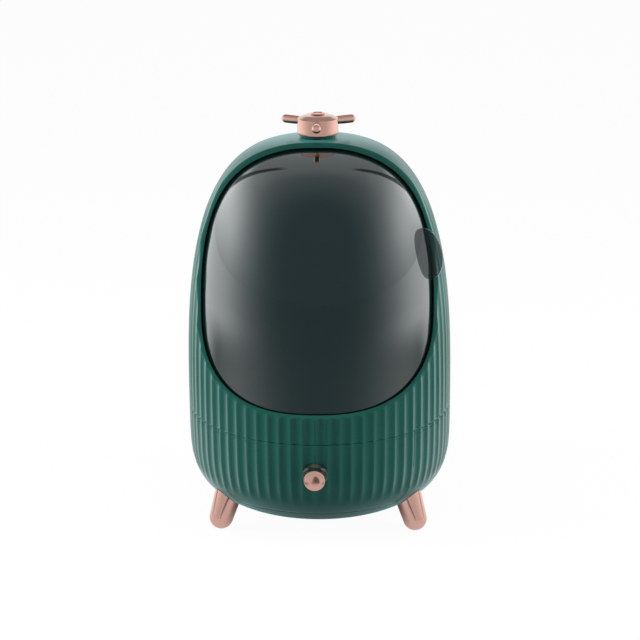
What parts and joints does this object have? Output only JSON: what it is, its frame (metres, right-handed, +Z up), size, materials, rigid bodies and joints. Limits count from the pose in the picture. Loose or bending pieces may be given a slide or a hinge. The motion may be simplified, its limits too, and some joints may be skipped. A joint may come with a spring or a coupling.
{
  "type": "cosmetic organizer box",
  "caption": "Upright egg-shaped vanity box with a fluted case on splayed legs, a turning smoked visor over the upper chamber, a pull-out drawer and a small propeller on the crown.",
  "frame": {"origin": "on the table, under the centre of the overall box, midway between the knob's face and the back of the case", "axes": "+Z up, -Y towards the user at the drawer's knob, +X to the right as seen from the front"},
  "size_m": [0.218, 0.23, 0.335],
  "materials": {
    "case_green": "satin moulded plastic, deep green",
    "inner_green": "plain moulded plastic, deep green",
    "visor_smoke": "polished smoked acrylic",
    "tab_clear": "polished lightly smoked acrylic",
    "rose_gold": "polished rose gold plating",
    "pale_nylon": "smooth natural nylon",
    "screw_steel": "plain steel"
  },
  "bodies": {
    "case": {"upper_shell": "case_green", "base_shell": "case_green", "base_plate": "inner_green", "deck": "inner_green", "visor_track": "pale_nylon", "inner_shelf": "inner_green", "hub_collar": "case_green", "pivot_washer": "pale_nylon", "drawer_runner_right": "pale_nylon", "drawer_runner_left": "pale_nylon", "drawer_stop": "inner_green", "leg_front_right": "rose_gold", "leg_rear_right": "rose_gold", "leg_rear_left": "rose_gold", "leg_front_left": "rose_gold", "leg_screw_front_right": "screw_steel", "leg_screw_rear_right": "screw_steel", "leg_screw_rear_left": "screw_steel", "leg_screw_front_left": "screw_steel", "case_screw_1": "screw_steel", "case_screw_2": "screw_steel", "case_screw_3": "screw_steel", "case_screw_4": "screw_steel"},
    "visor_unit": {"visor": "visor_smoke", "visor_tab": "tab_clear"},
    "drawer": {"drawer_front": "case_green", "drawer_tray": "inner_green", "drawer_divider_long": "inner_green", "drawer_divider_cross": "inner_green", "drawer_knob": "rose_gold", "knob_screw": "screw_steel"},
    "propeller": {"pivot_pin": "screw_steel", "propeller_hub": "rose_gold", "propeller_blade_1": "rose_gold", "propeller_blade_2": "rose_gold", "propeller_blade_3": "rose_gold", "propeller_cap": "rose_gold"}
  },
  "joints": [
    {"name": "visor_turn", "type": "hinge", "parent": "case", "child": "visor_unit", "pos_m": [0, 0.006, 0.2], "axis": [0, 0, -1], "range_deg": [0, 133]},
    {"name": "drawer_slide", "type": "slide", "parent": "case", "child": "drawer", "axis": [0, -1, 0], "range_m": [0, 0.095]},
    {"name": "propeller_spin", "type": "hinge", "parent": "case", "child": "propeller", "pos_m": [0, 0.006, 0.325], "axis": [0, 0, 1], "continuous": true}
  ]
}
